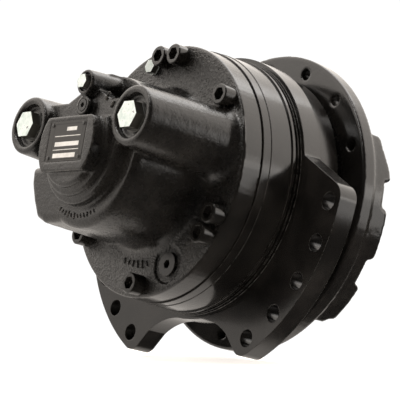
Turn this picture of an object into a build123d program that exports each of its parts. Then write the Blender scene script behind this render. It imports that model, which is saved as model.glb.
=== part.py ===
from build123d import *
import os
from math import atan2, cos, degrees, floor, pi, radians, sin, tan

# Radial piston wheel motor. The X axis is the shaft axis, +X points at the wheel hub, +Z is up.
# The origin is the centre of the mounting face, where the lobed flange seats on the chassis.

# Stations along the shaft axis
COVER_T = 24.0
CAM_T = 37.0
PILOT_L = 11.0
CAM_X = -PILOT_L - CAM_T
COVER_X = CAM_X - COVER_T
NECK_X = -157.0
PORT_X = -177.6
PLATE_X = -186.5
FLANGE_T = 25.0
LOBE_T = 22.0
NOSE_X = 53.0
HUB_X = 62.5
HUB_T = 16.5
PAD_X = 104.0

# Housing radii and the screws that hold cover, cam ring and support together
COVER_R = 130.0
CAM_R = 132.0
PILOT_R = 133.5
FLANGE_R = 137.6
NOSE_R = 132.2
SCREW_CIRCLE_R = 117.5
SCREW_R = 7.0
SCREW_HOLE_R = 7.6
SCREW_END_X = 10.0
HEAD_R = 10.5
HEAD_L = 14.0
HEX_KEY = 12.0
KEY_DEPTH = 6.0
SCREW_ANGLES = (36, 84, 96, 144, -156, -145, -88, -35, -24)
DOWEL_R = 4.0
DOWEL_ANGLES = (60, -120)
SEAL_GROOVE_R = 105.6

# Rings on the chassis pilot: start, end and radius of each, with relief grooves between them
PILOT_RINGS = ((-11.0, -7.6, 133.5), (-4.4, -3.0, 133.5), (-0.5, 0.0, 133.65))
RELIEF_R = 129.5

# Mounting lobes: outer radius, the angles of the -Y lobe's two corners, and the hollow below it
LOBE_R = 194.5
LOBE_TOP_ANGLE = -1.8
LOBE_FOOT_ANGLE = -64.3
LOBE_HOLLOW = ((163, -67.8), (147, -73.2))
LOBE_ROOT_ROUND = 8
LOBE_TOP_ROUND = 18
LOBE_FOOT_ROUND = 15
LOBE_HOLE_CIRCLE_R = 179.5
LOBE_HOLE_R = 8.75
LOBE_HOLE_ANGLES = [-6 - 13.25 * k for k in range(5)]

# Neck of the cover and the stepped boss under the nameplate
NECK_R = 80.5
NECK_DRAFT = 2.0
NECK_ROUND = 7.0
SKIRT = 9.0
LUG_POINTS = ((40, -12), (97, -11), (94, -33), (85, -52), (75, -68), (61, -74), (20, -74))
POCKET_X = -141.0
SADDLE_Z = 46.0
WEB_X = -167.5
STEPS = ((-168.0, 57.0), (-174.5, 50.0), (-181.0, 43.0))
STEP_EDGE = 2.0
PAD_R = 44.0
PAD_TOP_Z = 26.0
PAD_BOTTOM_Z = -29.0
PLATE_W = 58.0
PLATE_H = 40.0
PLATE_T = 1.0
PLATE_Z = 1.0
PLATE_SEAT = 1.2
RIVET_R = 1.2

# Ports in the neck and plugs in the flange
PORT_Y = 84.2
PORT_Z = 24.0
PORT_RIM_R = 29.4
PORT_FOOT_R = 35.0
PORT_RECESS_R = 21.5
PORT_RECESS_L = 8.0
PORT_R = 13.2
PORT_END_X = -112.0
PORT_PLUG_FLATS = 25.0
PORT_PLUG_PROUD = 4.0
PASSAGES = ((-1, -80.0), (1, -102.0))
PASSAGE_BORE_R = 7.0
DRAIN_Z = 63.0
DRAIN_BOSS_R = 12.5
DRAIN_FOOT_R = 17.0
DRAIN_FOOT_X = -108.0
DRAIN_SEAT = 5.0
DRAIN_R = 5.0
GALLERY_Z = 40.0
GALLERY_R = 6.0
GALLERY_X = -174.6
SMALL_PLUG_FLATS = 13.0
CASE_PORT = (113.6, 106)
CASE_PORT_R = 5.0
SOCKET_PLUG = (104.5, -66.3)
SOCKET_PLUG_R = 12.0
SOCKET_SEAT_R = 19.5

# Distributor bore in the cover: large, middle and small radius, and where each one ends
BORE_STEPS = ((76.0, -62.0), (62.0, -88.0), (52.0, -112.0))
SEAL_GROOVES = ((-75.0, 62.0), (-95.0, 52.0))
DISTRIBUTOR_PIN_R = 3.0
DISTRIBUTOR_PIN_Z = -40.0
SPRING_ORBIT_R = 68.0
SPRING_R = 4.0
SPRING_WIRE_R = 0.8

# Cam, cylinder block, pistons and rollers
CAM_LOBES = 6
CAM_MEAN_R = 97.5
CAM_LIFT = 4.0
BLOCK_R = 78.0
BLOCK_X0 = CAM_X + 1.5
BLOCK_X1 = -12.5
BLOCK_MID_X = (BLOCK_X0 + BLOCK_X1) / 2
PISTONS = 8
PISTON_R = 15.0
PISTON_BASE_R = 48.0
PISTON_TOP_R = 79.0
BORE_BASE_R = 46.0
ROLLER_R = 12.0
ROLLER_L = 24.0
ROLLER_ORBIT_R = 78.0
PASSAGE_ORBIT_R = 49.0
PASSAGE_R = 3.5

# Shaft and its two angled roller bearings, each given by start, width, bore radius and outer radius
SPLINE_TEETH = 24
SPLINE_R = 36.0
SPLINE_ROOT_R = 33.0
INNER_BEARING = (-4.0, 22.0, 45.0, 74.0)
OUTER_BEARING = (21.0, 24.0, 52.0, 80.0)
BEARING_SLOPE = 12.0
BEARING_ROLLER_R = 5.5
BEARING_ROLLER_L = 14.0
NUT_R = 56.0
NUT_THREAD_R = 40.0
NUT_X = (-12.0, -5.2)
SEAL_R = 60.0
SEAL_X = (45.0, 51.0)
SEAL_SEAT_R = 84.0
SHAFT_FLANGE_R = 75.0
SHAFT_FLANGE_X = (56.0, 70.0)
SPIGOT_R = 40.0
SPIGOT_X = 86.0

# Wheel hub
HUB_R = 158.0
HUB_HOLE_CIRCLE_R = 142.0
HUB_HOLE_R = 5.5
HUB_HOLES = 15
HUB_FIRST_ANGLE = 22.5
PAD_SEAT_X = 96.0
HUB_PAD_R = (118.0, 155.0)
HUB_SEAT_SPAN = (-51.0, 27.5)
HUB_PAD_SPANS = ((9.0, 27.5), (-21.0, -1.0), (-49.0, -31.5))
HUB_PAD_TURNS = (0, 120, 240)
RAMP_SLOPE = 16.0
HUB_WELL_R = 74.0
HUB_WELL_X = 84.0
WHEEL_PILOT_R = 95.0
WHEEL_PILOT_X = 92.0
HUB_SCREW_CIRCLE_R = 57.0
HUB_SCREW_R = 7.0
HUB_SCREWS = 8

# Clearances: between separate bodies, and for parts that are fitted into each other
RUNNING_GAP = 0.3
FIT_GAP = 0.05


def polar(radius, angle):
    """Y and Z of a point on a circle round the shaft. The angle runs from -Y towards +Z."""
    return -radius * cos(radians(angle)), radius * sin(radians(angle))


def spaced(count, first=0.0):
    return [first + 360 * k / count for k in range(count)]


def rod(radius, x0, x1, y=0.0, z=0.0):
    """Cylinder parallel to the shaft."""
    on_start = (Align.CENTER, Align.CENTER, Align.MIN)
    return Pos(x0, y, z) * Rot(0, 90, 0) * Cylinder(radius, x1 - x0, align=on_start)


def rods(radius, x0, x1, orbit, angles):
    return [rod(radius, x0, x1, *polar(orbit, angle)) for angle in angles]


def cone(r0, r1, x0, x1, y=0.0, z=0.0):
    """Cone parallel to the shaft, of radius r0 at x0 and r1 at x1."""
    return Pos((x0 + x1) / 2, y, z) * Rot(0, 90, 0) * Cone(r0, r1, x1 - x0)


def radial_rod(radius, r0, r1, x, angle):
    """Cylinder that stands on the shaft axis, from radius r0 to r1, at one polar angle."""
    return Rot(-angle, 0, 0) * Pos(x, -(r0 + r1) / 2, 0) * Rot(90, 0, 0) * Cylinder(radius, r1 - r0)


def turned(*points, arc=360):
    """Solid of revolution about the shaft axis from (x, radius) points."""
    return revolve(make_face(Polyline(*points, close=True)), Axis.X, arc)


def tube(outer, inner, x0, x1):
    return turned((x0, inner), (x1, inner), (x1, outer), (x0, outer))


def slab(sketch, x0, x1, taper=0.0):
    """Sketch in Y and Z, extruded along the shaft from x0 to x1."""
    return extrude(Plane.YZ.offset(x0) * sketch, x1 - x0, taper=taper)


def hex_bar(across_flats, x0, x1, y=0.0, z=0.0):
    return slab(Pos(y, z) * RegularPolygon(across_flats / 2, 6, major_radius=False), x0, x1)


def o_ring(radius, wire_r, x):
    return Pos(x, 0, 0) * Rot(0, 90, 0) * Torus(radius, wire_r)


def group(solids):
    return Compound(children=[piece.solid() for piece in solids])


def sector(inner, outer, start, end):
    """Ring sector sketch between two polar angles."""
    mid = (start + end) / 2
    outside = ThreePointArc(polar(outer, start), polar(outer, mid), polar(outer, end))
    inside = ThreePointArc(polar(inner, end), polar(inner, mid), polar(inner, start))
    return make_face([outside, Line(outside @ 1, inside @ 0), inside, Line(inside @ 1, outside @ 0)])


# ------------------------------------------------------------------ cover and what is fitted to it

def skirt(radius, y=0.0, z=0.0):
    """Hollow curve that leads from a round body of that radius out onto the flange."""
    start, bow = COVER_X - SKIRT, 0.35 * SKIRT
    curve = ThreePointArc((COVER_X, radius + SKIRT), (COVER_X - bow, radius + bow), (start, radius))
    rest = Polyline((start, radius), (start, 0), (COVER_X, 0), (COVER_X, radius + SKIRT))
    return Pos(0, y, z) * revolve(make_face([curve, rest]), Axis.X)


def rounded_boss(r0, r1, x0, x1, y, z, rim):
    """Boss that stands towards -X with a rounded rim."""
    body = cone(r0, r1, x0, x1, y, z)
    return fillet(body.edges().sort_by(Axis.X)[0], rim)


def neck_outline():
    """Section of the neck at the flange: round body with a lug at its lower +Y side."""
    lug = make_face(Polyline(*LUG_POINTS, close=True))
    lug = fillet(lug.vertices().filter_by(lambda v: v.X > 55), 6)
    return Circle(NECK_R) + lug


def valley_outline():
    """Slightly smaller section that fills the valleys between the round body and the port bosses."""
    bosses = [Pos(side * PORT_Y, PORT_Z) * Circle(PORT_RIM_R + 1) for side in (-1, 1)]
    outline = Circle(NECK_R - 2) + bosses
    return fillet(outline.vertices().filter_by(lambda v: abs(v.Y) > 1), 13)


def front_pocket(side):
    """Hollow beside the drain ridge, open to the front and the top."""
    points = [(8, 58), (34, SADDLE_Z), (66, SADDLE_Z), (92, 62), (60, 92), (8, 92)]
    return make_face(Polyline(*[(side * y, z) for y, z in points], close=True))


def cover_neck():
    """Drafted neck with rounded front edges, hollow at the top and curved out onto the flange."""
    neck = slab(neck_outline(), COVER_X, NECK_X, taper=NECK_DRAFT)
    neck = fillet(neck.faces().sort_by(Axis.X)[0].edges(), NECK_ROUND)
    neck += slab(valley_outline(), COVER_X, NECK_X + NECK_ROUND, taper=NECK_DRAFT)
    for side in (-1, 1):
        neck -= slab(front_pocket(side), NECK_X - 1, POCKET_X)
    neck += skirt(NECK_R)
    for side in (-1, 1):
        neck += skirt(PORT_FOOT_R, side * PORT_Y, PORT_Z)
        neck += rounded_boss(PORT_RIM_R, PORT_FOOT_R, PORT_X, COVER_X, side * PORT_Y, PORT_Z, 3)
    return neck + rounded_boss(DRAIN_BOSS_R, DRAIN_FOOT_R, PORT_X + 0.6, DRAIN_FOOT_X, 0, DRAIN_Z, 2)


def web_outline():
    """Web between the bosses, with a saddle each side of the drain ridge."""
    right = [(PORT_Y, SADDLE_Z), (34, SADDLE_Z), (10, DRAIN_Z - 5)]
    left = [(-y, z) for y, z in reversed(right)]
    return make_face(Polyline(*right, *left, (-60, 0), (60, 0), close=True))


def step_disc(front_x, radius):
    """Round step under the nameplate, cut flat above the plate."""
    front = [(front_x, 0), (front_x, radius - STEP_EDGE), (front_x + STEP_EDGE, radius)]
    disc = turned(*front, (NECK_X, radius), (NECK_X, 0))
    above = Pos(front_x, 0, PAD_TOP_Z + 1 + radius) * Box(80, 2 * radius, 2 * radius)
    return disc - above


def plate_pad():
    """Barrel-shaped pad that carries the nameplate."""
    height = PAD_TOP_Z - PAD_BOTTOM_Z
    outline = Circle(PAD_R) & Pos(0, PAD_BOTTOM_Z + height / 2) * Rectangle(2 * PAD_R, height)
    return slab(fillet(outline.vertices(), 5), STEPS[0][0], PLATE_X)


def cover_bosses():
    """Web, steps, nameplate pad and gallery boss on the front of the neck."""
    pieces = [slab(web_outline(), NECK_X + NECK_ROUND + 1, WEB_X), plate_pad()]
    pieces += [step_disc(front_x, radius) for front_x, radius in STEPS]
    pieces += [rod(GALLERY_R + 4, GALLERY_X, NECK_X, 0, GALLERY_Z)]
    return pieces


def port_cuts():
    cuts = []
    for side, passage_x in PASSAGES:
        y = side * PORT_Y
        cuts += [rod(PORT_RECESS_R, PORT_X, PORT_X + PORT_RECESS_L, y, PORT_Z)]
        cuts += [cone(PORT_RECESS_R + 3, PORT_RECESS_R - 1, PORT_X - 1, PORT_X + 3, y, PORT_Z)]
        cuts += [rod(PORT_R, PORT_X, passage_x + 8, y, PORT_Z)]
        cuts += [radial_rod(PASSAGE_BORE_R, 45, 84, passage_x, degrees(atan2(PORT_Z, -y)))]
    return cuts


def cover_hollows():
    """Distributor bore, port passages, screw holes and plug seats."""
    cuts = [rod(radius, end, CAM_X) for radius, end in BORE_STEPS] + port_cuts()
    cuts += [rod(DRAIN_BOSS_R - 3, PORT_X, PORT_X + DRAIN_SEAT, 0, DRAIN_Z)]
    cuts += [rod(DRAIN_R, PORT_X, -105, 0, DRAIN_Z)]
    cuts += [radial_rod(4, 45, DRAIN_Z, -107, 90)]
    cuts += [rod(GALLERY_R + FIT_GAP, GALLERY_X, GALLERY_X + 10, 0, GALLERY_Z)]
    cuts += rods(SCREW_HOLE_R, COVER_X, CAM_X, SCREW_CIRCLE_R, SCREW_ANGLES)
    cuts += rods(HEAD_R + 1.5, COVER_X - HEAD_L - 3, COVER_X, SCREW_CIRCLE_R, SCREW_ANGLES)
    cuts += rods(DOWEL_R, CAM_X - 6, CAM_X, SCREW_CIRCLE_R, DOWEL_ANGLES)
    cuts += [rod(CASE_PORT_R + FIT_GAP, COVER_X, COVER_X + 12, *polar(*CASE_PORT))]
    cuts += [rod(SOCKET_SEAT_R, COVER_X, COVER_X + 2, *polar(*SOCKET_PLUG))]
    cuts += [rod(SOCKET_PLUG_R - 1.5 + FIT_GAP, COVER_X, COVER_X + 14, *polar(*SOCKET_PLUG))]
    cuts += [slab(Pos(0, PLATE_Z) * Rectangle(PLATE_W + 1, PLATE_H + 1), PLATE_X, PLATE_X + PLATE_SEAT)]
    cuts += [rod(RIVET_R, PLATE_X, PLATE_X + 5, y, z) for y, z in rivet_places()]
    cuts += rods(SPRING_R + 1, -66, -62, SPRING_ORBIT_R, spaced(6, 30))
    cuts += [rod(DISTRIBUTOR_PIN_R, -118, -112, 0, DISTRIBUTOR_PIN_Z)]
    return cuts


def distribution_cover():
    rim = COVER_X + 1.5
    flange = turned((COVER_X, 0), (CAM_X, 0), (CAM_X, COVER_R), (rim, COVER_R), (COVER_X, COVER_R - 1.5))
    return (flange + cover_neck() + cover_bosses() - cover_hollows()).solid()


def rivet_places():
    half_w, half_h = PLATE_W / 2 - 4, PLATE_H / 2 - 3.5
    return [(y, PLATE_Z + z) for y in (-half_w, half_w) for z in (-half_h, half_h)]


def nameplate():
    back = PLATE_X + PLATE_SEAT
    plate = slab(Pos(0, PLATE_Z) * RectangleRounded(PLATE_W, PLATE_H, 1.5), back - PLATE_T, back)
    return plate - [rod(RIVET_R, PLATE_X, back, y, z) for y, z in rivet_places()]


def nameplate_rivets():
    head_x = PLATE_X + PLATE_SEAT - PLATE_T
    shanks = [rod(RIVET_R - FIT_GAP, head_x, head_x + 4, y, z) for y, z in rivet_places()]
    heads = [rod(1.9, head_x - 0.7, head_x, y, z) for y, z in rivet_places()]
    return group([shank + head for shank, head in zip(shanks, heads)])


def port_plug(side):
    """Hexagon shipping plug: threaded shank in the port, flanged hexagon in the recess."""
    floor_x = PORT_X + PORT_RECESS_L
    y = side * PORT_Y
    shank = rod(PORT_R - FIT_GAP, floor_x, floor_x + 14, y, PORT_Z)
    collar = rod(PORT_R + 2.3, floor_x - 1.8, floor_x, y, PORT_Z)
    head = hex_bar(PORT_PLUG_FLATS, floor_x - 1.8, PORT_X - PORT_PLUG_PROUD, y, PORT_Z)
    return shank + collar + head


def drain_plug():
    floor_x = PORT_X + DRAIN_SEAT
    shank = rod(DRAIN_R - FIT_GAP, floor_x, floor_x + 12, 0, DRAIN_Z)
    return shank + hex_bar(SMALL_PLUG_FLATS, floor_x, PORT_X - 3, 0, DRAIN_Z)


def gallery_plug():
    body = rod(GALLERY_R, GALLERY_X, GALLERY_X + 9, 0, GALLERY_Z)
    return body - hex_bar(5, GALLERY_X, GALLERY_X + 4, 0, GALLERY_Z)


def case_port_plug():
    y, z = polar(*CASE_PORT)
    collar_x = COVER_X - 1.5
    shank = rod(CASE_PORT_R, COVER_X, COVER_X + 10, y, z)
    return shank + rod(8, collar_x, COVER_X, y, z) + hex_bar(SMALL_PLUG_FLATS, collar_x, COVER_X - 8, y, z)


def flange_socket_plug():
    y, z = polar(*SOCKET_PLUG)
    seat = COVER_X + 2
    head = rod(SOCKET_PLUG_R, seat - 2.5, seat, y, z)
    return rod(SOCKET_PLUG_R - 1.5, seat, seat + 11, y, z) + head - hex_bar(8, seat - 2.5, seat + 5, y, z)


def cover_screws():
    screws = []
    for y, z in (polar(SCREW_CIRCLE_R, angle) for angle in SCREW_ANGLES):
        top = COVER_X - HEAD_L
        shank = rod(SCREW_R, COVER_X, SCREW_END_X, y, z)
        head = chamfer(rod(HEAD_R, top, COVER_X, y, z).edges().sort_by(Axis.X)[0], 1)
        screws.append(shank + head - hex_bar(HEX_KEY, top, top + KEY_DEPTH, y, z))
    return group(screws)


def dowel_pins():
    return group(rods(DOWEL_R, CAM_X - 5, -PILOT_L + 6, SCREW_CIRCLE_R, DOWEL_ANGLES))


# ------------------------------------------------------------------ cam ring and the fixed housing

def cam_profile():
    """Closed inner curve with one crest and one valley for each cam lobe."""
    places = spaced(CAM_LOBES * 12)
    radii = [CAM_MEAN_R + CAM_LIFT * cos(radians(CAM_LOBES * angle)) for angle in places]
    return make_face(Spline([polar(r, a) for r, a in zip(radii, places)], periodic=True))


def cam_ring():
    step_x = CAM_X + 10
    low_r = CAM_R - 0.6
    blank = rod(low_r, CAM_X, -PILOT_L) + rod(CAM_R, step_x, -PILOT_L)
    cuts = [slab(cam_profile(), CAM_X, -PILOT_L)]
    cuts += rods(SCREW_HOLE_R, CAM_X, -PILOT_L, SCREW_CIRCLE_R, SCREW_ANGLES)
    cuts += rods(DOWEL_R, CAM_X, -PILOT_L, SCREW_CIRCLE_R, DOWEL_ANGLES)
    cuts += [tube(SEAL_GROOVE_R + 1.4, SEAL_GROOVE_R - 1.4, x, x + 2.4) for x in (CAM_X, -PILOT_L - 2.4)]
    return blank - cuts


def half_outline():
    """Edges of the flange's -Y half from the top down: round, out along the lobe and back in a curve."""
    top, bottom = polar(FLANGE_R, 12), polar(FLANGE_R, -87)
    lobe_top, lobe_foot = polar(LOBE_R, LOBE_TOP_ANGLE), polar(LOBE_R, LOBE_FOOT_ANGLE)
    hollow, hollow_middle = (polar(*place) for place in LOBE_HOLLOW)
    return [
        ThreePointArc(polar(FLANGE_R, 90), polar(FLANGE_R, 50), top),
        Line(top, lobe_top),
        ThreePointArc(lobe_top, polar(LOBE_R, -30), lobe_foot),
        Line(lobe_foot, hollow),
        ThreePointArc(hollow, hollow_middle, bottom),
        ThreePointArc(bottom, polar(FLANGE_R, -88.5), polar(FLANGE_R, -90)),
    ]


def lobed_outline():
    edges = half_outline()
    outline = make_face(edges + [mirror(edge, Plane.YZ) for edge in edges])
    root = (polar(FLANGE_R, 12), LOBE_ROOT_ROUND)
    top = (polar(LOBE_R, LOBE_TOP_ANGLE), LOBE_TOP_ROUND)
    foot = (polar(LOBE_R, LOBE_FOOT_ANGLE), LOBE_FOOT_ROUND)
    for (y, z), radius in (root, top, foot):
        corners = outline.vertices().filter_by(lambda v: abs(abs(v.X) - abs(y)) < 1 and abs(v.Y - z) < 1)
        outline = fillet(corners, radius)
    return outline


def pilot_profile():
    """Points from the shaft axis out along the rings and relief grooves to the mounting face."""
    points = [(-PILOT_L, 0)]
    for start, end, radius in PILOT_RINGS:
        points += [(start, radius), (end, radius), (end, RELIEF_R)]
        points += [(following[0], RELIEF_R) for following in PILOT_RINGS if following[0] > end][:1]
    return points[:-1]


def bearing_support():
    flange = [(0, FLANGE_R - 1), (1, FLANGE_R), (FLANGE_T - 2, FLANGE_R), (FLANGE_T, FLANGE_R - 2)]
    nose = [(FLANGE_T, NOSE_R), (NOSE_X - 1.5, NOSE_R), (NOSE_X, NOSE_R - 1.5), (NOSE_X, 0)]
    body = turned(*pilot_profile(), *flange, *nose) + slab(lobed_outline(), 0, LOBE_T)
    inner_x, inner_w, _, inner_r = INNER_BEARING
    outer_x, outer_w, _, outer_r = OUTER_BEARING
    cuts = [rod(inner_r + 2, -PILOT_L, inner_x), rod(inner_r, inner_x, inner_x + inner_w)]
    cuts += [rod(inner_r - 8, inner_x + inner_w, outer_x), rod(outer_r, outer_x, outer_x + outer_w)]
    cuts += [rod(SEAL_SEAT_R, outer_x + outer_w, NOSE_X)]
    cuts += [rod(SEAL_SEAT_R + 2, SEAL_X[1] + 0.2, SEAL_X[1] + 1.4)]
    cuts += [rod(98, NOSE_X - 3, NOSE_X)]
    cuts += rods(SCREW_R + FIT_GAP, -PILOT_L, SCREW_END_X + 3, SCREW_CIRCLE_R, SCREW_ANGLES)
    cuts += rods(DOWEL_R, -PILOT_L, -PILOT_L + 7, SCREW_CIRCLE_R, DOWEL_ANGLES)
    both_sides = [side for angle in LOBE_HOLE_ANGLES for side in (angle, 180 - angle)]
    cuts += rods(LOBE_HOLE_R, 0, LOBE_T, LOBE_HOLE_CIRCLE_R, both_sides)
    return body - cuts


def shaft_seal():
    x0, x1 = SEAL_X
    lip = SEAL_R + FIT_GAP
    edge, rim = x1 - 1.5, SEAL_SEAT_R - 6
    inside = [(x0, SEAL_SEAT_R), (x0, lip + 3), (x0 + 1, lip), (x0 + 2, lip), (edge, lip + 4)]
    return turned(*inside, (edge, rim), (x1, rim), (x1, SEAL_SEAT_R))


def open_ring(outer, inner, x0, x1, arc):
    """Retaining ring with a gap."""
    return turned((x0, inner), (x1, inner), (x1, outer), (x0, outer), arc=arc)


def seal_circlip():
    return open_ring(SEAL_SEAT_R + 1.8, SEAL_SEAT_R - 3, SEAL_X[1] + 0.2, SEAL_X[1] + 1.4, 345)


# ------------------------------------------------------------------ distributor

def distributor():
    gap = 0.1
    (r1, x1), (r2, x2), (r3, x3) = BORE_STEPS
    face = BLOCK_X0 - RUNNING_GAP
    large = [(face, 0), (face, r1 - gap), (x1 + 2, r1 - gap)]
    middle = [(x1 + 2, r2 - gap), (x2 + 1, r2 - gap)]
    small = [(x2 + 1, r3 - gap), (x3 + 1, r3 - gap), (x3 + 1, 0)]
    body = turned(*large, *middle, *small)
    cuts = [rod(28, x3 + 1, x3 + 30)]
    cuts += [tube(radius, radius - 3, x, x + 3) for x, radius in SEAL_GROOVES]
    cuts += [tube(r2, r2 - 8, -86, -78), tube(r3, r3 - 8, -108, -100)]
    cuts += rods(4, -70, face, PASSAGE_ORBIT_R, spaced(2 * CAM_LOBES))
    cuts += rods(SPRING_R + 1, x1 + 2, x1 + 6, SPRING_ORBIT_R, spaced(6, 30))
    cuts += [rod(DISTRIBUTOR_PIN_R + FIT_GAP, x3 + 1, x3 + 9, 0, DISTRIBUTOR_PIN_Z)]
    return body - cuts


def distributor_seals():
    return group([tube(radius - 0.05, radius - 2.7, x + 0.15, x + 2.85) for x, radius in SEAL_GROOVES])


def distributor_springs():
    """Coil springs that press the distributor onto the cylinder block."""
    springs = []
    for y, z in (polar(SPRING_ORBIT_R, angle) for angle in spaced(6, 30)):
        coil = Helix(pitch=2.4, height=7.2, radius=SPRING_R - SPRING_WIRE_R)
        wire = sweep(Plane(coil @ 0, z_dir=coil % 0) * Circle(SPRING_WIRE_R), coil)
        springs.append(Pos(-64.6, y, z) * Rot(0, 90, 0) * wire)
    return group(springs)


def distributor_pin():
    middle = BORE_STEPS[2][1]
    return rod(DISTRIBUTOR_PIN_R, middle - 6, middle + 8, 0, DISTRIBUTOR_PIN_Z)


# ------------------------------------------------------------------ rotating group

def spline_profile(gap=0.0):
    """Straight-sided spline section; a positive gap makes the matching bore."""
    half_tip, half_root = 90 / SPLINE_TEETH * 0.8, 90 / SPLINE_TEETH * 1.2
    grow = degrees(gap / SPLINE_R)
    points = []
    root, tip = SPLINE_ROOT_R + gap, SPLINE_R + gap
    for middle in spaced(SPLINE_TEETH):
        points += [polar(root, middle - half_root - grow), polar(tip, middle - half_tip - grow)]
        points += [polar(tip, middle + half_tip + grow), polar(root, middle + half_root + grow)]
    return make_face(Polyline(*points, close=True))


def cylinder_block():
    blank = rod(BLOCK_R, BLOCK_X0, BLOCK_X1)
    body = chamfer(blank.edges().filter_by(GeomType.CIRCLE), 2)
    cuts = [slab(spline_profile(FIT_GAP), BLOCK_X0, BLOCK_X1), rod(SPLINE_R + 5, BLOCK_X0, BLOCK_X0 + 4)]
    for angle in spaced(PISTONS):
        cuts.append(radial_rod(PISTON_R + FIT_GAP, BORE_BASE_R, BLOCK_R + 5, BLOCK_MID_X, angle))
        slot = Box(ROLLER_L + 2 * RUNNING_GAP, 25, 2 * ROLLER_R + 2 * RUNNING_GAP)
        cuts.append(Rot(-angle, 0, 0) * Pos(BLOCK_MID_X, -BLOCK_R, 0) * slot)
    cuts += rods(PASSAGE_R, BLOCK_X0, BLOCK_MID_X, PASSAGE_ORBIT_R, spaced(PISTONS))
    return body - cuts


def piston(angle):
    """Piston with a cradle for its roller and a groove with its ring."""
    body = radial_rod(PISTON_R, PISTON_BASE_R, PISTON_TOP_R, BLOCK_MID_X, angle)
    y, z = polar(ROLLER_ORBIT_R, angle)
    cradle = rod(ROLLER_R + FIT_GAP, BLOCK_MID_X - 20, BLOCK_MID_X + 20, y, z)
    groove_r = PISTON_BASE_R + 4
    groove = radial_rod(PISTON_R, groove_r, groove_r + 2.6, BLOCK_MID_X, angle)
    core = radial_rod(PISTON_R - 2, groove_r, groove_r + 2.6, BLOCK_MID_X, angle)
    ring = radial_rod(PISTON_R, groove_r + 0.1, groove_r + 2.5, BLOCK_MID_X, angle)
    ring -= radial_rod(PISTON_R - 1.9, groove_r, groove_r + 3, BLOCK_MID_X, angle)
    return group([body - cradle - (groove - core), ring])


def roller(angle):
    y, z = polar(ROLLER_ORBIT_R, angle)
    body = rod(ROLLER_R, BLOCK_MID_X - ROLLER_L / 2, BLOCK_MID_X + ROLLER_L / 2, y, z)
    return chamfer(body.edges().filter_by(GeomType.CIRCLE), 0.8)


def output_shaft():
    inner_x, _, inner_bore, _ = INNER_BEARING
    outer_x, outer_w, outer_bore, _ = OUTER_BEARING
    seal_x = outer_x + outer_w
    flange_x0, flange_x1 = SHAFT_FLANGE_X
    nut_end = [(BLOCK_X1, 0), (BLOCK_X1, NUT_THREAD_R), (inner_x, NUT_THREAD_R)]
    seats = [(inner_x, inner_bore), (outer_x, inner_bore), (outer_x, outer_bore), (seal_x, outer_bore)]
    flange = [(seal_x, SEAL_R), (flange_x0, SEAL_R), (flange_x0, SHAFT_FLANGE_R), (flange_x1, SHAFT_FLANGE_R)]
    spigot = [(flange_x1, SPIGOT_R), (SPIGOT_X - 2, SPIGOT_R), (SPIGOT_X, SPIGOT_R - 2), (SPIGOT_X, 0)]
    body = turned(*nut_end, *seats, *flange, *spigot)
    body += slab(spline_profile(), BLOCK_X0 + 1, BLOCK_X1)
    cuts = [tube(SPLINE_R, SPLINE_ROOT_R - 1, BLOCK_X0 + 1.6, BLOCK_X0 + 3.4)]
    cuts += [turned((SPIGOT_X, 0), (SPIGOT_X, 9), (SPIGOT_X - 3, 6), (SPIGOT_X - 22, 6), (SPIGOT_X - 26, 0))]
    cuts += rods(HUB_SCREW_R + FIT_GAP, flange_x0 + 2, flange_x1, HUB_SCREW_CIRCLE_R, spaced(HUB_SCREWS))
    return body - cuts


def block_circlip():
    return open_ring(SPLINE_R + 3, SPLINE_ROOT_R - 0.9, BLOCK_X0 + 1.7, BLOCK_X0 + 3.3, 340)


def bearing_nut():
    x0, x1 = NUT_X
    slot = Pos((x0 + x1) / 2, -NUT_R, 0) * Box(x1 - x0, 6, 7)
    slots = [Rot(-angle, 0, 0) * slot for angle in spaced(4, 20)]
    return tube(NUT_R, NUT_THREAD_R, x0, x1) - slots


def lock_washer():
    x0, x1 = NUT_X[1], INNER_BEARING[0]
    return tube(NUT_R - 2, NUT_THREAD_R, x0, x1)


def along_roller(spec, slope, along, across):
    """Point (x, radius) given along and across the axis of a bearing's roller."""
    start, width, bore, outer = spec
    turn = radians(slope)
    x = start + width / 2 + along * cos(turn) - across * sin(turn)
    return x, (bore + outer) / 2 + along * sin(turn) + across * cos(turn)


def outer_race(spec, slope):
    start, width, _, outer = spec
    height = BEARING_ROLLER_R + FIT_GAP
    track_x, track_r = along_roller(spec, slope, 0, height)
    low, high = (track_r + tan(radians(slope)) * (x - track_x) for x in (start, start + width))
    wedge = turned((start, 0), (start, low), (start + width, high), (start + width, 0))
    return rod(outer, start, start + width) - wedge


def inner_race(spec, slope):
    start, width, bore, _ = spec
    half = BEARING_ROLLER_L / 2 + FIT_GAP
    height = -BEARING_ROLLER_R - FIT_GAP
    rib = -2.4
    ends = [along_roller(spec, slope, side * (half + 2.5), rib) for side in (-1, 1)]
    shoulders = [along_roller(spec, slope, side * half, rib) for side in (-1, 1)]
    track = [along_roller(spec, slope, side * half, height) for side in (-1, 1)]
    first = [(start, bore), (start, ends[0][1]), ends[0], shoulders[0], track[0]]
    last = [track[1], shoulders[1], ends[1], (start + width, ends[1][1]), (start + width, bore)]
    return turned(*first, *last)


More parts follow.
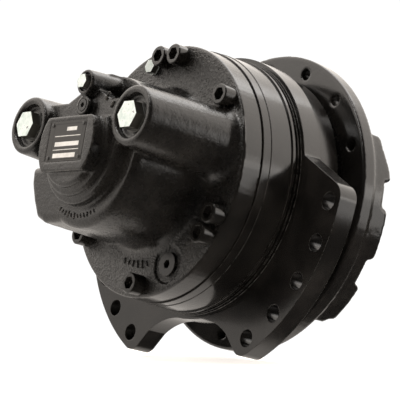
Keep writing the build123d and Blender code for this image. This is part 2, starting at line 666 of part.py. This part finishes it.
def rollers_and_cage(spec, slope):
    middle = along_roller(spec, slope, 0, 0)
    count = floor(2 * pi * middle[1] / (2 * BEARING_ROLLER_R + 3.2))
    half = BEARING_ROLLER_L / 2
    corners = [(-half - 3, -0.8), (half + 3, -0.8), (half + 3, 0.8), (-half - 3, 0.8)]
    cage = turned(*[along_roller(spec, slope, *corner) for corner in corners])
    rollers, pockets = [], []
    for angle in spaced(count):
        place = Rot(-angle, 0, 0) * Pos(middle[0], -middle[1], 0) * Rot(0, 0, -slope) * Rot(0, 90, 0)
        rollers.append(place * Cylinder(BEARING_ROLLER_R, BEARING_ROLLER_L))
        pockets.append(place * Cylinder(BEARING_ROLLER_R + 0.2, BEARING_ROLLER_L + 0.4))
    return group([cage - pockets, *rollers])


def hub_pad(start, end, x0, x1, lead_in):
    """Raised pad for the wheel between two polar angles; its upper end slopes where lead_in is set."""
    block = slab(sector(*HUB_PAD_R, start, end), x0, x1)
    ends = block.faces().sort_by(Axis.X)[-1].edges().filter_by(GeomType.LINE)
    block = chamfer(ends, 3)
    if lead_in:
        wedge = Pos(x1, -HUB_PAD_R[1], 0) * Rot(0, -RAMP_SLOPE, 0) * Pos(20, 0, 30) * Box(40, 90, 80)
        block -= Rot(-(start + 4), 0, 0) * wedge
    return block


def wheel_hub():
    back = HUB_X + HUB_T
    flange = [(HUB_X, 0), (HUB_X, HUB_R - 1), (HUB_X + 1, HUB_R), (back - 1, HUB_R), (back, HUB_R - 1)]
    pilot = [(back, WHEEL_PILOT_R), (WHEEL_PILOT_X - 1, WHEEL_PILOT_R), (WHEEL_PILOT_X, WHEEL_PILOT_R - 1)]
    body = turned(*flange, *pilot, (WHEEL_PILOT_X, 0))
    for turn in HUB_PAD_TURNS:
        seat_start, seat_end = HUB_SEAT_SPAN
        body += hub_pad(seat_start + turn, seat_end + turn, back, PAD_SEAT_X, False)
        for start, end in HUB_PAD_SPANS:
            body += hub_pad(start + turn, end + turn, PAD_SEAT_X, PAD_X, end == seat_end)
    flange_x1 = SHAFT_FLANGE_X[1]
    cuts = [rod(SHAFT_FLANGE_R, HUB_X, flange_x1), rod(SPIGOT_R, flange_x1, WHEEL_PILOT_X)]
    cuts += [rod(HUB_WELL_R, HUB_WELL_X, WHEEL_PILOT_X)]
    cuts += rods(HUB_SCREW_R + 0.5, flange_x1, HUB_WELL_X, HUB_SCREW_CIRCLE_R, spaced(HUB_SCREWS))
    cuts += rods(HUB_HOLE_R, HUB_X, PAD_X, HUB_HOLE_CIRCLE_R, spaced(HUB_HOLES, HUB_FIRST_ANGLE))
    return body - cuts


def hub_screws():
    screws = []
    top = HUB_WELL_X + HEAD_L
    for y, z in (polar(HUB_SCREW_CIRCLE_R, angle) for angle in spaced(HUB_SCREWS)):
        head = chamfer(rod(HEAD_R, HUB_WELL_X, top, y, z).edges().sort_by(Axis.X)[-1], 1)
        shank = rod(HUB_SCREW_R, SHAFT_FLANGE_X[0] + 4, HUB_WELL_X, y, z)
        screws.append(shank + head - hex_bar(HEX_KEY, top - KEY_DEPTH, top, y, z))
    return group(screws)


PARTS = {
    "distribution_cover": distribution_cover,
    "nameplate": nameplate,
    "nameplate_rivets": nameplate_rivets,
    "port_plug_a": lambda: port_plug(1),
    "port_plug_b": lambda: port_plug(-1),
    "drain_plug": drain_plug,
    "gallery_plug": gallery_plug,
    "case_port_plug": case_port_plug,
    "flange_socket_plug": flange_socket_plug,
    "cover_screws": cover_screws,
    "dowel_pins": dowel_pins,
    "cover_o_ring": lambda: o_ring(SEAL_GROOVE_R, 1.2, CAM_X + 1.2),
    "cam_ring": cam_ring,
    "support_o_ring": lambda: o_ring(SEAL_GROOVE_R, 1.2, -PILOT_L - 1.2),
    "distributor": distributor,
    "distributor_seals": distributor_seals,
    "distributor_springs": distributor_springs,
    "distributor_pin": distributor_pin,
    "bearing_support": bearing_support,
    "inner_bearing_cup": lambda: outer_race(INNER_BEARING, -BEARING_SLOPE),
    "outer_bearing_cup": lambda: outer_race(OUTER_BEARING, BEARING_SLOPE),
    "shaft_seal": shaft_seal,
    "seal_circlip": seal_circlip,
    "output_shaft": output_shaft,
    "cylinder_block": cylinder_block,
    "block_circlip": block_circlip,
    "inner_bearing_cone": lambda: inner_race(INNER_BEARING, -BEARING_SLOPE),
    "outer_bearing_cone": lambda: inner_race(OUTER_BEARING, BEARING_SLOPE),
    "inner_bearing_rollers": lambda: rollers_and_cage(INNER_BEARING, -BEARING_SLOPE),
    "outer_bearing_rollers": lambda: rollers_and_cage(OUTER_BEARING, BEARING_SLOPE),
    "bearing_nut": bearing_nut,
    "lock_washer": lock_washer,
    "wheel_hub": wheel_hub,
    "hub_screws": hub_screws,
}
for number, place in enumerate(spaced(PISTONS), start=1):
    PARTS[f"piston_{number}"] = lambda angle=place: piston(angle)
    PARTS[f"roller_{number}"] = lambda angle=place: roller(angle)

os.makedirs("parts", exist_ok=True)
for name, make in PARTS.items():
    export_step(make(), f"parts/{name}.step")
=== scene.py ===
import math
import random

import bmesh
import bpy
import numpy as np
from mathutils import Matrix, Vector, noise


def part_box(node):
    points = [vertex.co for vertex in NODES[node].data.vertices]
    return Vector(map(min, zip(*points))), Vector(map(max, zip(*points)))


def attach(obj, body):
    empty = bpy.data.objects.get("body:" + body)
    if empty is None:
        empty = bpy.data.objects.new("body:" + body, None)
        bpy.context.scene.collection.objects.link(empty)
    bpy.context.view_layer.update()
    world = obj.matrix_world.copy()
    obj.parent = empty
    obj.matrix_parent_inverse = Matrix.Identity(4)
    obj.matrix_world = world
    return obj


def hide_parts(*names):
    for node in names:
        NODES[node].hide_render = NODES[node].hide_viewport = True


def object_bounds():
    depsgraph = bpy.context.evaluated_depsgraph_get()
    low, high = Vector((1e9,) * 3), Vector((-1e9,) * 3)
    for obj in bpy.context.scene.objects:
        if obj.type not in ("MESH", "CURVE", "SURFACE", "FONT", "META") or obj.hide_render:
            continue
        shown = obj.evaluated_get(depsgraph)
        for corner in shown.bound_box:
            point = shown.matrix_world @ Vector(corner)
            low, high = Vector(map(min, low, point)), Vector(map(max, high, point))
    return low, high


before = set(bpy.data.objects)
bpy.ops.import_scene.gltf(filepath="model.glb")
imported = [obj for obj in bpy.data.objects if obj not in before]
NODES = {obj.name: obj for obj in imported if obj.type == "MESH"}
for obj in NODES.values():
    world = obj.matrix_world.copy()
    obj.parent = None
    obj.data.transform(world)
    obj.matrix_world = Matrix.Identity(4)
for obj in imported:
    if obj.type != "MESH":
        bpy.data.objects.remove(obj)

CAD_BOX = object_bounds()
SCENE = bpy.context.scene


def middle(node):
    """Centre of a CAD node's box."""
    low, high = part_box(node)
    return (low + high) / 2


# Places on the motor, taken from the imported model
_, PORT_Y, PORT_Z = middle("port_plug_a")
DRAIN_Z = middle("drain_plug").z
GALLERY_Z = middle("gallery_plug").z
PLATE_Z = middle("nameplate").z
COVER_T = 0.024
COVER_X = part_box("cam_ring")[0].x - COVER_T
COVER_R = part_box("distribution_cover")[1].y
HUB_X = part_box("wheel_hub")[0].x
HUB_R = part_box("wheel_hub")[1].y
FLANGE_R = 0.1376
WORN_Z = (0.078, 0.128)


# ------------------------------------------------------------------ shader helpers

class Shader:
    """Small wrapper that adds nodes to one material and links them."""

    def __init__(self, name):
        self.material = bpy.data.materials.new(name)
        self.material.use_nodes = True
        self.tree = self.material.node_tree
        self.bsdf = self.tree.nodes["Principled BSDF"]
        self.coords = self.add("ShaderNodeTexCoord").outputs["Object"]
        split = self.add("ShaderNodeSeparateXYZ")
        self.feed(split.inputs[0], self.coords)
        self.x, self.y, self.z = split.outputs
        y_squared, z_squared = (self.math("MULTIPLY", side, side) for side in (self.y, self.z))
        squares = self.math("ADD", y_squared, z_squared)
        self.radius = self.math("SQRT", squares)

    def add(self, kind, **settings):
        node = self.tree.nodes.new(kind)
        for key, value in settings.items():
            setattr(node, key, value)
        return node

    def feed(self, socket, value):
        if isinstance(value, bpy.types.NodeSocket):
            self.tree.links.new(value, socket)
        else:
            socket.default_value = value

    def noise(self, scale, detail=4.0, roughness=0.55, vector=None):
        node = self.add("ShaderNodeTexNoise")
        self.feed(node.inputs["Vector"], vector or self.coords)
        self.feed(node.inputs["Scale"], scale)
        self.feed(node.inputs["Detail"], detail)
        self.feed(node.inputs["Roughness"], roughness)
        return node.outputs["Fac"]

    def cells(self, scale):
        node = self.add("ShaderNodeTexVoronoi", feature="F1")
        self.feed(node.inputs["Vector"], self.coords)
        self.feed(node.inputs["Scale"], scale)
        return node.outputs["Distance"]

    def stretched(self, along):
        """Coordinates squeezed along the shaft, for marks that run round or along it."""
        node = self.add("ShaderNodeMapping")
        self.feed(node.inputs["Vector"], self.coords)
        node.inputs["Scale"].default_value = along
        return node.outputs["Vector"]

    def math(self, operation, first, second=0.0, clamp=False):
        node = self.add("ShaderNodeMath", operation=operation, use_clamp=clamp)
        self.feed(node.inputs[0], first)
        self.feed(node.inputs[1], second)
        return node.outputs[0]

    def span(self, value, low, high, to_low=0.0, to_high=1.0):
        node = self.add("ShaderNodeMapRange", interpolation_type="SMOOTHSTEP")
        names = ("Value", "From Min", "From Max", "To Min", "To Max")
        for name, number in zip(names, (value, low, high, to_low, to_high)):
            self.feed(node.inputs[name], number)
        return node.outputs["Result"]

    def band(self, value, low, high, soft):
        """1 between low and high, fading out over soft."""
        rise = self.span(value, low - soft, low)
        return self.math("MULTIPLY", rise, self.span(value, high, high + soft, 1.0, 0.0))

    def patch(self, y0, y1, z0, z1, soft):
        """1 inside a rectangle of the YZ plane, fading out over soft."""
        return self.math("MULTIPLY", self.band(self.y, y0, y1, soft), self.band(self.z, z0, z1, soft))

    def mix(self, factor, first, second):
        node = self.add("ShaderNodeMix", data_type="RGBA")
        self.feed(node.inputs[0], factor)
        self.feed(node.inputs[6], (*first, 1.0) if isinstance(first, tuple) else first)
        self.feed(node.inputs[7], (*second, 1.0) if isinstance(second, tuple) else second)
        return node.outputs[2]

    def blend(self, factor, first, second):
        node = self.add("ShaderNodeMix", data_type="FLOAT")
        self.feed(node.inputs[0], factor)
        self.feed(node.inputs[2], first)
        self.feed(node.inputs[3], second)
        return node.outputs[0]

    def facing(self):
        """How far the surface faces along the shaft: 1 on a flat face, 0 on a cylinder about it."""
        split = self.add("ShaderNodeSeparateXYZ")
        self.feed(split.inputs[0], self.add("ShaderNodeTexCoord").outputs["Normal"])
        return self.math("ABSOLUTE", split.outputs[0])

    def edges(self, radius):
        """(normal rounded over the edges, 0 to 1 where an edge is)."""
        bevel = self.add("ShaderNodeBevel", samples=4)
        self.feed(bevel.inputs["Radius"], radius)
        dot = self.add("ShaderNodeVectorMath", operation="DOT_PRODUCT")
        self.feed(dot.inputs[0], bevel.outputs["Normal"])
        self.feed(dot.inputs[1], self.add("ShaderNodeNewGeometry").outputs["Normal"])
        turn = self.math("SUBTRACT", 1.0, dot.outputs["Value"])
        return bevel.outputs["Normal"], self.span(turn, 0.03, 0.25)

    def bump(self, height, strength, distance, normal=None):
        node = self.add("ShaderNodeBump")
        self.feed(node.inputs["Height"], height)
        self.feed(node.inputs["Strength"], strength)
        self.feed(node.inputs["Distance"], distance)
        if normal is not None:
            self.feed(node.inputs["Normal"], normal)
        return node.outputs["Normal"]

    def finish(self, colour, roughness, normal, level=0.5):
        self.feed(self.bsdf.inputs["Base Color"], colour)
        self.feed(self.bsdf.inputs["Roughness"], roughness)
        self.feed(self.bsdf.inputs["Normal"], normal)
        self.bsdf.inputs["Specular IOR Level"].default_value = level
        return self.material


BLACK = (0.0050, 0.0046, 0.0042)
SOOT = (0.0130, 0.0118, 0.0106)
# paler edge colour: rubbed wear plus a painted highlight along the edges
CHIP_AND_EDGE_HIGHLIGHT = (0.170, 0.155, 0.138)
# paler paint for the hub and the lobe rims: dust plus painted light, so these parts read as lit
DUST_AND_LIT_PAINT = (0.030, 0.0270, 0.0240)
BARE = (0.55, 0.52, 0.47)


def paint_base(s, edge, chip_and_highlight_amount):
    """Uneven black paint, paler and duller along the edges: partly rubbed wear, partly a painted edge
    highlight.
    """
    tone = s.span(s.noise(22, 5, 0.6), 0.35, 0.70)
    colour = s.mix(tone, BLACK, SOOT)
    # wear and painted highlight: a paler colour is mixed in along the edges where the noise allows
    worn_and_highlit = s.math("MULTIPLY", edge, s.span(s.noise(150, 4, 0.7), 0.40, 0.58))
    return s.mix(s.math("MULTIPLY", worn_and_highlit, chip_and_highlight_amount), colour, CHIP_AND_EDGE_HIGHLIGHT), worn_and_highlit


def cast_paint():
    """Thick black paint over sand-cast iron: pebbled on the flange face, smoother on the neck."""
    s = Shader("black_cast_paint")
    normal, edge = s.edges(0.0010)
    # painted highlight: convex ridges on the neck (high pointiness) also take the paler edge colour
    ridge = s.span(s.add("ShaderNodeNewGeometry").outputs["Pointiness"], 0.520, 0.575)
    neck = s.span(s.x, COVER_X - 0.0025, COVER_X - 0.0045)
    edge = s.math("MAXIMUM", edge, s.math("MULTIPLY", ridge, neck))
    colour, worn_and_highlit = paint_base(s, edge, 0.40)
    pebbles = s.math("ADD", s.noise(330, 3, 0.6), s.math("MULTIPLY", s.cells(620), 0.45))
    broad = s.noise(95, 3, 0.5)
    on_face = s.math("MULTIPLY", s.facing(), s.band(s.x, COVER_X - 0.0015, COVER_X + 0.003, 0.001))
    turned_rim = s.span(s.radius, COVER_R - 0.0016, COVER_R - 0.0007)
    strength = s.blend(turned_rim, s.blend(on_face, 0.17, 0.80), 0.045)
    height = s.math("ADD", pebbles, s.math("MULTIPLY", broad, 0.5))
    rough = s.blend(s.span(s.noise(240, 3, 0.6), 0.3, 0.7), 0.19, 0.30)
    rough = s.blend(turned_rim, rough, 0.17)
    return s.finish(colour, s.blend(worn_and_highlit, rough, 0.42), s.bump(height, strength, 0.0012, normal), 0.62)


def machined_paint():
    """Glossy black paint over turned iron, with faint orange peel and turning lines."""
    s = Shader("black_machined_paint")
    normal, edge = s.edges(0.0010)
    colour, worn_and_highlit = paint_base(s, edge, 0.35)
    peel = s.noise(190, 2, 0.5)
    lines = s.noise(420, 1, 0.4, s.stretched((1.0, 0.12, 0.12)))
    height = s.math("ADD", peel, s.math("MULTIPLY", lines, 0.25))
    hub = s.span(s.x, HUB_X - 0.0025, HUB_X - 0.0003)
    grain = s.blend(hub, 0.055, 0.22)
    rough = s.blend(s.span(s.noise(45, 3, 0.6), 0.3, 0.7), 0.13, 0.22)
    lobes = s.span(s.radius, FLANGE_R + 0.0002, FLANGE_R + 0.0024)
    lobes = s.math("MULTIPLY", lobes, s.span(s.x, -0.0002, 0.0004))
    outer = s.math("MAXIMUM", hub, lobes)
    # painted light and dust: the hub and the outer lobe rims get a paler paint so they show as lit grey,
    # broken up by noise
    dust_and_lit_tone = s.math("MULTIPLY", outer, s.span(s.noise(60, 5, 0.65), 0.25, 0.60, 0.45, 1.0))
    colour = s.mix(dust_and_lit_tone, colour, DUST_AND_LIT_PAINT)
    rough = s.blend(outer, rough, 0.40)
    bare = s.math("MULTIPLY", s.band(s.z, *WORN_Z, 0.010), s.span(s.radius, HUB_R - 0.0035, HUB_R - 0.002))
    front = s.band(s.x, HUB_X - 0.0005, HUB_X + 0.003, 0.002)
    bare = s.math("MULTIPLY", bare, s.math("MULTIPLY", s.span(s.y, 0.0, -0.02), front))
    bare = s.math("MULTIPLY", bare, s.span(s.noise(85, 5, 0.7), 0.44, 0.49))
    s.feed(s.bsdf.inputs["Metallic"], bare)
    colour = s.mix(bare, colour, BARE)
    return s.finish(colour, s.blend(worn_and_highlit, rough, 0.45), s.bump(height, grain, 0.0009, normal), 0.6)


def dabbed_plug():
    """Steel shipping plug: pale mint dab on the outer face, darker plated sides."""
    s = Shader("white_plug_finish")
    normal, edge = s.edges(0.0006)
    marks = s.noise(150, 5, 0.65)
    outer = s.math("MAXIMUM", s.span(s.x, -0.1795, -0.1800), s.span(s.x, -0.121, -0.120))
    face = s.math("MULTIPLY", s.span(s.facing(), 0.80, 0.92), outer)
    face = s.math("MULTIPLY", face, s.span(marks, 0.33, 0.40))
    pale = s.mix(s.span(marks, 0.35, 0.72), (0.86, 0.92, 0.89), (0.58, 0.68, 0.64))
    colour = s.mix(face, s.mix(marks, (0.016, 0.016, 0.014), (0.05, 0.048, 0.042)), pale)
    colour = s.mix(s.math("MULTIPLY", edge, 0.5), colour, (0.25, 0.27, 0.26))
    rough = s.blend(face, 0.28, s.blend(marks, 0.4, 0.65))
    return s.finish(colour, rough, s.bump(s.noise(420, 3, 0.5), 0.12, 0.0005, normal), 0.5)


# Printed areas of the nameplate as (y0, y1, z0, z1)
PLATE_FIELDS = (
    (-0.0150, 0.0010, 0.0112, 0.0148),
    (-0.0215, 0.0175, -0.0040, 0.0002),
    (-0.0185, 0.0180, -0.0155, -0.0112),
)
PLATE_RULES = ((-0.0225, 0.0190, 0.0058, 0.0063), (-0.0225, 0.0190, -0.0078, -0.0073))
PLATE_FRAME = (-0.0250, 0.0220, -0.0175, 0.0185)
PLATE_FRAME_LINE = 0.0007


def plate_metal():
    """Etched nameplate: dark ground, thin rules and blank pale fields, no lettering."""
    s = Shader("plate_metal")
    normal, edge = s.edges(0.0003)
    grain = s.noise(300, 4, 0.6, s.stretched((1.0, 0.15, 1.0)))
    pale = 0.0
    for area in PLATE_FIELDS + PLATE_RULES:
        pale = s.math("MAXIMUM", pale, s.patch(*area, 0.0002))
    dull = s.span(s.noise(120, 4, 0.7), 0.30, 0.65, 0.80, 1.0)
    colour = s.mix(grain, (0.020, 0.019, 0.018), (0.045, 0.043, 0.040))
    colour = s.mix(s.math("MULTIPLY", pale, dull), colour, (0.80, 0.78, 0.75))
    y0, y1, z0, z1 = PLATE_FRAME
    line = PLATE_FRAME_LINE
    within = s.patch(y0 + line, y1 - line, z0 + line, z1 - line, 0.0001)
    frame_line = s.math("SUBTRACT", s.patch(*PLATE_FRAME, 0.0001), within)
    colour = s.mix(frame_line, colour, (0.001, 0.001, 0.001))
    s.bsdf.inputs["Metallic"].default_value = 0.25
    height = s.math("SUBTRACT", grain, pale)
    return s.finish(colour, s.blend(grain, 0.30, 0.48), s.bump(height, 0.15, 0.0003, normal))


def steel(name, dark, light, low, high):
    s = Shader(name)
    normal, edge = s.edges(0.0006)
    grain = s.noise(180, 4, 0.6)
    s.bsdf.inputs["Metallic"].default_value = 1.0
    colour = s.mix(s.span(grain, 0.3, 0.7), dark, light)
    colour = s.mix(s.math("MULTIPLY", edge, 0.4), colour, (0.7, 0.68, 0.66))
    return s.finish(colour, s.blend(grain, low, high), s.bump(grain, 0.08, 0.0004, normal))


def rubber():
    s = Shader("seal_rubber_finish")
    grain = s.noise(300, 3, 0.6)
    colour = s.mix(grain, (0.012, 0.012, 0.013), (0.028, 0.027, 0.026))
    return s.finish(colour, s.blend(grain, 0.55, 0.8), s.bump(grain, 0.2, 0.0004))


FINISHES = {
    "black_cast": cast_paint(),
    "black_machined": machined_paint(),
    "white_plug": dabbed_plug(),
    "nameplate": plate_metal(),
    "zinc_steel": steel("zinc_finish", (0.36, 0.35, 0.33), (0.52, 0.50, 0.47), 0.25, 0.42),
    "hard_steel": steel("ground_steel", (0.42, 0.42, 0.43), (0.55, 0.55, 0.56), 0.12, 0.26),
    "cast_inner": steel("inner_casting", (0.12, 0.115, 0.11), (0.2, 0.19, 0.18), 0.5, 0.75),
    "seal_rubber": rubber(),
}
for obj in NODES.values():
    for slot in obj.material_slots:
        base = slot.name.split(".")[0]
        if base in FINISHES:
            slot.material = FINISHES[base]


# ------------------------------------------------------------------ castings rounded from the machined model

def link_edges(mesh):
    ends = np.empty(len(mesh.edges) * 2, dtype=np.int64)
    mesh.edges.foreach_get("vertices", ends)
    return ends.reshape(-1, 2)


def relax(points, ends, weight, rounds):
    """Evens the points out where weight is 1, with little shrinking: a push in, then a push out."""
    first, second = ends.T
    count = np.bincount(ends.ravel(), minlength=len(points)).clip(1)[:, None]
    for step in range(2 * rounds):
        total = np.zeros_like(points)
        for axis in range(3):
            total[:, axis] = np.bincount(first, points[second, axis], len(points))
            total[:, axis] += np.bincount(second, points[first, axis], len(points))
        pull = 0.55 if step % 2 == 0 else -0.50
        points += (total / count - points) * (weight * pull)[:, None]
    return points


def soft_step(value, low, high):
    t = np.clip((value - low) / (high - low), 0.0, 1.0)
    return t * t * (3 - 2 * t)


def skin_wave(point):
    """Unevenness of the cast skin: broad waves with finer ones on top."""
    return noise.noise(point * 140) + 0.5 * noise.noise(point * 330 + Vector((3, 1, 2)))


def rounded_casting(node, name, voxel, weight_of, passes, sand):
    """Copy of a CAD node, remeshed finely, with its cast edges rounded and its skin slightly uneven."""
    source = NODES[node]
    body = bpy.data.objects.new(name, source.data.copy())
    SCENE.collection.objects.link(body)
    remesh = body.modifiers.new("remesh", "REMESH")
    remesh.mode = "VOXEL"
    remesh.voxel_size = voxel
    graph = bpy.context.evaluated_depsgraph_get()
    mesh = bpy.data.meshes.new_from_object(body.evaluated_get(graph))
    body.modifiers.clear()
    body.data = mesh
    points = np.empty(len(mesh.vertices) * 3)
    mesh.vertices.foreach_get("co", points)
    points = points.reshape(-1, 3)
    weight = weight_of(points)
    points = relax(points, link_edges(mesh), weight, passes)
    mesh.vertices.foreach_set("co", points.ravel())
    mesh.update()
    normals = np.empty(len(mesh.vertices) * 3)
    mesh.vertices.foreach_get("normal", normals)
    normals = normals.reshape(-1, 3)
    waves = np.array([skin_wave(Vector(p)) for p in points])
    points += normals * (waves * weight * sand)[:, None]
    mesh.vertices.foreach_set("co", points.ravel())
    mesh.materials.clear()
    for slot in source.material_slots:
        mesh.materials.append(slot.material)
    mesh.shade_smooth()
    mesh.update()
    return body


def near(points, y, z):
    return np.hypot(points[:, 1] - y, points[:, 2] - z)


def keep(weight, distance, soft_r, full_r, x, x_start, x_full):
    """Lowers the weight to 0 within full_r of an axis and in front of x_full."""
    weight *= 1 - soft_step(-distance, -soft_r, -full_r) * soft_step(-x, -x_start, -x_full)


def cover_weight(points):
    """1 on raw casting; 0 on the turned rim, the port faces, the plate and plug seats, and the back."""
    x = points[:, 0]
    radius = near(points, 0, 0)
    weight = soft_step(-x, -COVER_X - 0.006, -COVER_X - 0.001)
    weight *= soft_step(-radius, 0.001 - COVER_R, 0.003 - COVER_R)
    for side in (-1, 1):
        keep(weight, near(points, side * PORT_Y, PORT_Z), 0.0262, 0.0250, x, -0.1660, -0.1680)
    off_plate = np.maximum(np.abs(points[:, 1]) - 0.030, np.abs(points[:, 2] - PLATE_Z) - 0.021)
    keep(weight, off_plate, 0.0015, 0.0, x, -0.1830, -0.1845)
    keep(weight, near(points, 0, DRAIN_Z), 0.0100, 0.0090, x, -0.150, -0.155)
    keep(weight, near(points, 0, GALLERY_Z), 0.0070, 0.0062, x, -0.150, -0.155)
    return weight


def hub_weight(points):
    """1 on the raised pads, 0 on the turned disc."""
    radius = near(points, 0, 0)
    return soft_step(points[:, 0], 0.0800, 0.0830) * soft_step(radius, 0.1130, 0.1160)


cover = rounded_casting("distribution_cover", "cover_casting", 0.0011, cover_weight, 4, 0.00010)
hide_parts("distribution_cover")
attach(cover, "housing")
hub = rounded_casting("wheel_hub", "hub_casting", 0.0016, hub_weight, 36, 0.00012)
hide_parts("wheel_hub")
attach(hub, "rotor")


# ------------------------------------------------------------------ generic cast marks

def raised_pips(name, places, size):
    """Small raised casting marks: (position, turn, length factor) on the -X side of a face."""
    mesh = bmesh.new()
    for (x, y, z), turn, factor in places:
        made = bmesh.ops.create_cube(mesh, size=1.0)["verts"]
        scale = Matrix.Diagonal((size[0], size[1], size[2] * factor, 1.0))
        place = Matrix.Translation((x, y, z)) @ Matrix.Rotation(turn, 4, "X") @ scale
        bmesh.ops.transform(mesh, matrix=place, verts=made)
    bmesh.ops.bevel(mesh, geom=list(mesh.edges), offset=0.00045, segments=2, affect="EDGES")
    data = bpy.data.meshes.new(name)
    mesh.to_mesh(data)
    mesh.free()
    data.materials.append(FINISHES["black_cast"])
    data.shade_smooth()
    obj = bpy.data.objects.new(name, data)
    SCENE.collection.objects.link(obj)
    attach(obj, "housing")
    return obj


def arc_places(x, radius, start, end, count, rng):
    """Marks spaced along an arc in degrees, each turned and sized a little differently."""
    places = []
    for k in range(count):
        angle = math.radians(start + (end - start) * k / (count - 1))
        y, z = -radius * math.cos(angle), radius * math.sin(angle)
        places.append(((x, y, z), -angle + math.radians(90 + rng.uniform(-25, 25)), rng.uniform(0.6, 1.2)))
    return places


rng = random.Random(7)
raised_pips("rim_marks", arc_places(-0.1572, 0.0665, -68, -118, 12, rng), (0.0016, 0.0011, 0.0062))
raised_pips("flange_marks", arc_places(-0.0722, 0.0960, -84, -106, 6, rng), (0.0016, 0.0016, 0.0085))
crown = [((-0.1680, -0.030, 0.049), 0.5, 1.6), ((-0.1680, -0.040, 0.040), 0.5, 1.2)]
raised_pips("crown_marks", crown, (0.002, 0.0022, 0.006))


# ------------------------------------------------------------------ floor, light and camera

FLOOR_SLOPE = 0.185
FLOOR_Z = CAD_BOX[0][2] - 0.0025
FLOOR_TOUCH_X = 0.025
FLOOR_BEND_X = 0.12
FLOOR_EASE = 0.06
OPENING = (-0.62, -0.77, -0.10)
CAMERA_PLACE = (-1.1462, -1.4128, -0.3192)
CAMERA_LOOK = (0.618, 0.769, 0.165)
CAMERA_SIDE = (0.752, -0.639, 0.162)
CAMERA_LENS = 162


def rest_floor():
    """Plain sheet that the motor lies on: it rises towards the hub and levels off behind it."""
    stations = [-6.0 + 0.25 * k for k in range(24)]
    stations += [0.02 * k for k in range(20)]
    stations += [0.5 + 0.5 * k for k in range(12)]
    mesh = bmesh.new()
    rows = []
    for x in stations:
        lift = FLOOR_SLOPE * (min(x, FLOOR_BEND_X) - FLOOR_TOUCH_X)
        if x > FLOOR_BEND_X:
            lift += FLOOR_SLOPE * FLOOR_EASE * (1 - math.exp((FLOOR_BEND_X - x) / FLOOR_EASE))
        rows.append([mesh.verts.new((x, y, FLOOR_Z + lift)) for y in (-6, -2, -0.6, 0, 0.6, 2, 6)])
    for low, high in zip(rows, rows[1:]):
        for k in range(len(low) - 1):
            mesh.faces.new((low[k], high[k], high[k + 1], low[k + 1]))
    data = bpy.data.meshes.new("floor")
    mesh.to_mesh(data)
    mesh.free()
    obj = bpy.data.objects.new("floor", data)
    SCENE.collection.objects.link(obj)
    s = Shader("floor_white")
    tone = s.mix(s.noise(3, 2), (0.86, 0.84, 0.81), (0.88, 0.86, 0.83))
    s.bsdf.inputs["Emission Color"].default_value = (1.0, 0.94, 0.88, 1.0)
    s.bsdf.inputs["Emission Strength"].default_value = 0.85
    data.materials.append(s.finish(tone, 0.7, s.bump(s.noise(40, 2), 0.02, 0.001), 0.2))
    obj.visible_glossy = False  # the paint mirrors the tent, not this sheet


def softbox(name, place, size, power, colour=(1.0, 1.0, 1.0)):
    light = bpy.data.lights.new(name, "AREA")
    light.shape = "RECTANGLE"
    light.size, light.size_y = size
    light.energy = power
    light.color = colour
    obj = bpy.data.objects.new(name, light)
    obj.location = place
    obj.rotation_mode = "QUATERNION"
    obj.rotation_quaternion = (-Vector(place)).to_track_quat("-Z", "Y")
    SCENE.collection.objects.link(obj)


def tent():
    """White light from above and from the +Y side; dark below at -Y and where the photographer stands."""
    back = bpy.data.worlds.new("tent")
    back.use_nodes = True
    tree = back.node_tree
    tree.nodes.clear()
    link = tree.links.new

    def fade(value, low, high, to_low, to_high):
        node = tree.nodes.new("ShaderNodeMapRange")
        node.interpolation_type = "SMOOTHSTEP"
        for name, number in (("From Min", low), ("From Max", high), ("To Min", to_low), ("To Max", to_high)):
            node.inputs[name].default_value = number
        link(value, node.inputs["Value"])
        return node.outputs["Result"]

    def combine(operation, first, second):
        node = tree.nodes.new("ShaderNodeMath")
        node.operation = operation
        link(first, node.inputs[0])
        link(second, node.inputs[1])
        return node.outputs[0]

    way = tree.nodes.new("ShaderNodeTexCoord").outputs["Generated"]
    split = tree.nodes.new("ShaderNodeSeparateXYZ")
    link(way, split.inputs[0])
    dot = tree.nodes.new("ShaderNodeVectorMath")
    dot.operation = "DOT_PRODUCT"
    dot.inputs[1].default_value = OPENING
    link(way, dot.inputs[0])
    above = fade(split.outputs[2], 0.15, 0.24, 0.05, 1.9)
    beside = fade(split.outputs[1], 0.02, 0.22, 0.0, 0.9)
    opening = fade(dot.outputs["Value"], 0.05, 0.40, 1.0, 0.03)
    strength = combine("MULTIPLY", combine("MAXIMUM", above, beside), opening)
    seen, around = tree.nodes.new("ShaderNodeBackground"), tree.nodes.new("ShaderNodeBackground")
    seen.inputs["Color"].default_value = (1.0, 1.0, 1.0, 1.0)
    seen.inputs["Strength"].default_value = 1.05
    around.inputs["Color"].default_value = (1.0, 0.93, 0.86, 1.0)
    link(strength, around.inputs["Strength"])
    path, mix = tree.nodes.new("ShaderNodeLightPath"), tree.nodes.new("ShaderNodeMixShader")
    link(path.outputs["Is Camera Ray"], mix.inputs[0])
    link(around.outputs[0], mix.inputs[1])
    link(seen.outputs[0], mix.inputs[2])
    link(mix.outputs[0], tree.nodes.new("ShaderNodeOutputWorld").inputs[0])
    SCENE.world = back


def camera():
    data = bpy.data.cameras.new("camera")
    data.lens = CAMERA_LENS
    data.sensor_width = 36
    obj = bpy.data.objects.new("camera", data)
    look = Vector(CAMERA_LOOK).normalized()
    side = Vector(CAMERA_SIDE).normalized()
    up = side.cross(look).normalized()
    side = look.cross(up).normalized()
    turn = Matrix((side, up, -look)).transposed().to_4x4()
    obj.matrix_world = Matrix.Translation(CAMERA_PLACE) @ turn
    SCENE.collection.objects.link(obj)
    SCENE.camera = obj


rest_floor()
tent()
camera()
softbox("overhead", (0.5, 0.3, 2.2), (1.8, 1.8), 22)
softbox("strip", (-1.7, -0.2, 1.9), (0.25, 1.2), 12, (1.0, 0.97, 0.94))
softbox("side_card", (1.6, -2.0, 0.25), (1.3, 1.0), 7, (1.0, 0.96, 0.92))
SCENE.view_settings.view_transform = "Standard"
